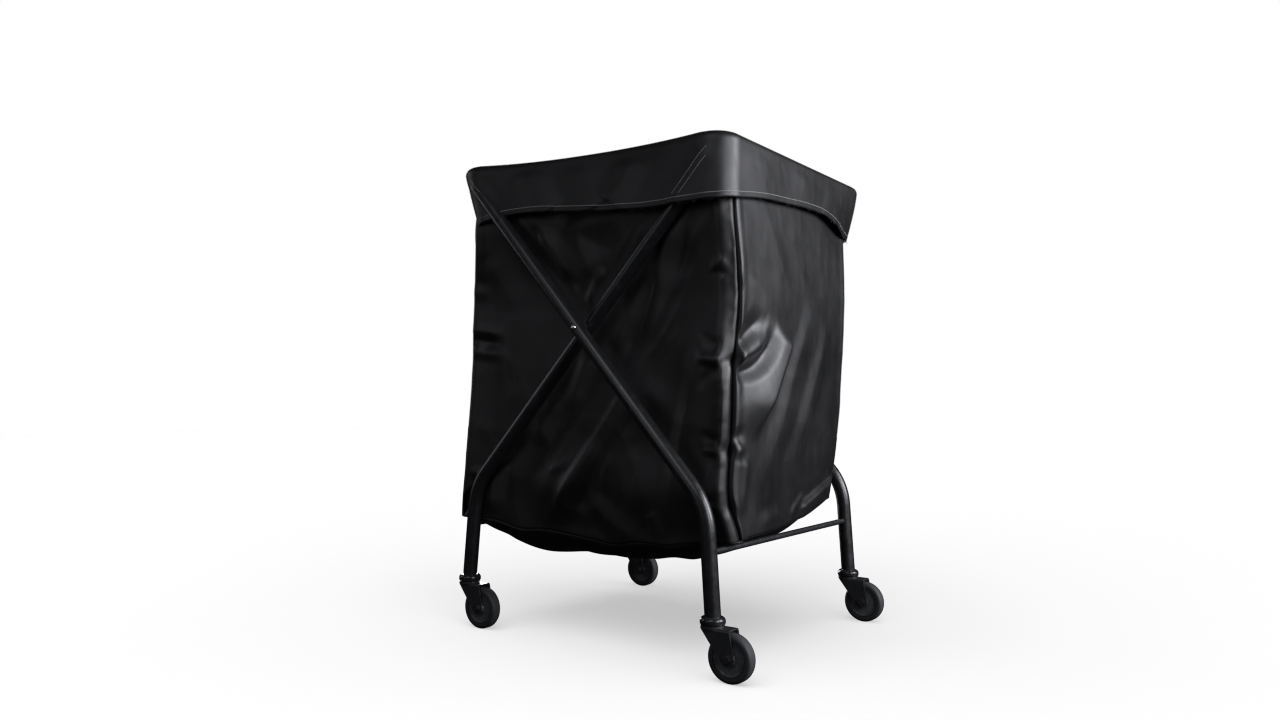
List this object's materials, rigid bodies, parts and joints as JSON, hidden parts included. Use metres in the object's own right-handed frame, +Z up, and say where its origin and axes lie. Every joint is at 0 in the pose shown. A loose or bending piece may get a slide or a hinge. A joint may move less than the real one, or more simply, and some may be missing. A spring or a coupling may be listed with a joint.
{
  "type": "folding laundry cart",
  "caption": "Folding X-frame laundry cart with a hung coated-fabric bag, a turned-down cuff, cross rods and swivel casters.",
  "frame": {"origin": "on the floor, under the line through the two pivot rivets, midway front to back", "axes": "+Z up, +X to the side where the right frame's legs stand, +Y towards the back; the open cart's longest extent is along Z"},
  "size_m": [0.6451, 0.5973, 0.8704],
  "materials": {
    "frame_coating": "satin black powder coat",
    "rivet_steel": "plain steel",
    "washer_nylon": "black nylon",
    "socket_plastic": "black moulded plastic",
    "caster_steel": "black coated pressed steel",
    "stem_steel": "zinc-plated steel",
    "ball_steel": "polished steel",
    "axle_steel": "dark zinc-plated steel",
    "hub_plastic": "black moulded plastic",
    "tyre_rubber": "dark grey solid rubber",
    "bag_fabric": "black coated woven fabric, satin"
  },
  "bodies": {
    "pivot": {"pivot_rivet_front": "rivet_steel", "pivot_rivet_back": "rivet_steel", "pivot_washer_front": "washer_nylon", "pivot_washer_back": "washer_nylon"},
    "right_frame": {"right_frame_tube": "frame_coating", "right_cross_rod": "frame_coating", "right_front_stem_socket": "socket_plastic", "right_front_caster_stem": "stem_steel", "right_front_caster_collar": "caster_steel", "right_back_stem_socket": "socket_plastic", "right_back_caster_stem": "stem_steel", "right_back_caster_collar": "caster_steel"},
    "left_frame": {"left_frame_tube": "frame_coating", "left_cross_rod": "frame_coating", "left_front_stem_socket": "socket_plastic", "left_front_caster_stem": "stem_steel", "left_front_caster_collar": "caster_steel", "left_back_stem_socket": "socket_plastic", "left_back_caster_stem": "stem_steel", "left_back_caster_collar": "caster_steel"},
    "right_front_fork": {"right_front_swivel_balls": "ball_steel", "right_front_caster_fork": "caster_steel", "right_front_axle_bolt": "axle_steel", "right_front_axle_nut": "axle_steel", "right_front_axle_bushing": "axle_steel"},
    "right_front_wheel": {"right_front_wheel_hub": "hub_plastic", "right_front_wheel_tyre": "tyre_rubber"},
    "right_back_fork": {"right_back_swivel_balls": "ball_steel", "right_back_caster_fork": "caster_steel", "right_back_axle_bolt": "axle_steel", "right_back_axle_nut": "axle_steel", "right_back_axle_bushing": "axle_steel"},
    "right_back_wheel": {"right_back_wheel_hub": "hub_plastic", "right_back_wheel_tyre": "tyre_rubber"},
    "left_front_fork": {"left_front_swivel_balls": "ball_steel", "left_front_caster_fork": "caster_steel", "left_front_axle_bolt": "axle_steel", "left_front_axle_nut": "axle_steel", "left_front_axle_bushing": "axle_steel"},
    "left_front_wheel": {"left_front_wheel_hub": "hub_plastic", "left_front_wheel_tyre": "tyre_rubber"},
    "left_back_fork": {"left_back_swivel_balls": "ball_steel", "left_back_caster_fork": "caster_steel", "left_back_axle_bolt": "axle_steel", "left_back_axle_nut": "axle_steel", "left_back_axle_bushing": "axle_steel"},
    "left_back_wheel": {"left_back_wheel_hub": "hub_plastic", "left_back_wheel_tyre": "tyre_rubber"},
    "bag": {"bag_front_panel": "bag_fabric", "bag_back_panel": "bag_fabric", "bag_left_panel": "bag_fabric", "bag_right_panel": "bag_fabric", "bag_bottom_panel": "bag_fabric", "bag_rim_fold": "bag_fabric", "bag_cuff": "bag_fabric"}
  },
  "joints": [
    {"name": "fold", "type": "hinge", "parent": "pivot", "child": "right_frame", "pos_m": [0, 0, 0.5555], "axis": [0, 1, 0], "range_deg": [0, 21]},
    {"name": "fold_left", "type": "hinge", "parent": "pivot", "child": "left_frame", "pos_m": [0, 0, 0.5555], "axis": [0, 1, 0], "range_deg": [-21.1, 0]},
    {"name": "bag_lift", "type": "slide", "parent": "pivot", "child": "bag", "axis": [0, 0, 1], "range_m": [0, 0.0782], "deforming": ["bag_front_panel", "bag_back_panel", "bag_left_panel", "bag_right_panel", "bag_bottom_panel", "bag_rim_fold", "bag_cuff"]},
    {"name": "right_front_swivel", "type": "hinge", "parent": "right_frame", "child": "right_front_fork", "pos_m": [0.2765, -0.278, 0.09], "axis": [0, 0, 1], "continuous": true},
    {"name": "right_front_roll", "type": "hinge", "parent": "right_front_fork", "child": "right_front_wheel", "pos_m": [0.3105, -0.278, 0.0381], "axis": [0, 1, 0], "continuous": true},
    {"name": "right_back_swivel", "type": "hinge", "parent": "right_frame", "child": "right_back_fork", "pos_m": [0.2765, 0.2506, 0.09], "axis": [0, 0, 1], "continuous": true},
    {"name": "right_back_roll", "type": "hinge", "parent": "right_back_fork", "child": "right_back_wheel", "pos_m": [0.3105, 0.2506, 0.0381], "axis": [0, 1, 0], "continuous": true},
    {"name": "left_front_swivel", "type": "hinge", "parent": "left_frame", "child": "left_front_fork", "pos_m": [-0.2765, -0.2506, 0.09], "axis": [0, 0, 1], "continuous": true},
    {"name": "left_front_roll", "type": "hinge", "parent": "left_front_fork", "child": "left_front_wheel", "pos_m": [-0.2425, -0.2506, 0.0381], "axis": [0, 1, 0], "continuous": true},
    {"name": "left_back_swivel", "type": "hinge", "parent": "left_frame", "child": "left_back_fork", "pos_m": [-0.2765, 0.278, 0.09], "axis": [0, 0, 1], "continuous": true},
    {"name": "left_back_roll", "type": "hinge", "parent": "left_back_fork", "child": "left_back_wheel", "pos_m": [-0.2425, 0.278, 0.0381], "axis": [0, 1, 0], "continuous": true}
  ],
  "couplings": [
    {"joint": "fold_left", "follows": "fold", "ratio": -1},
    {"joint": "bag_lift", "follows": "fold", "m_per_rad": 0.212}
  ]
}
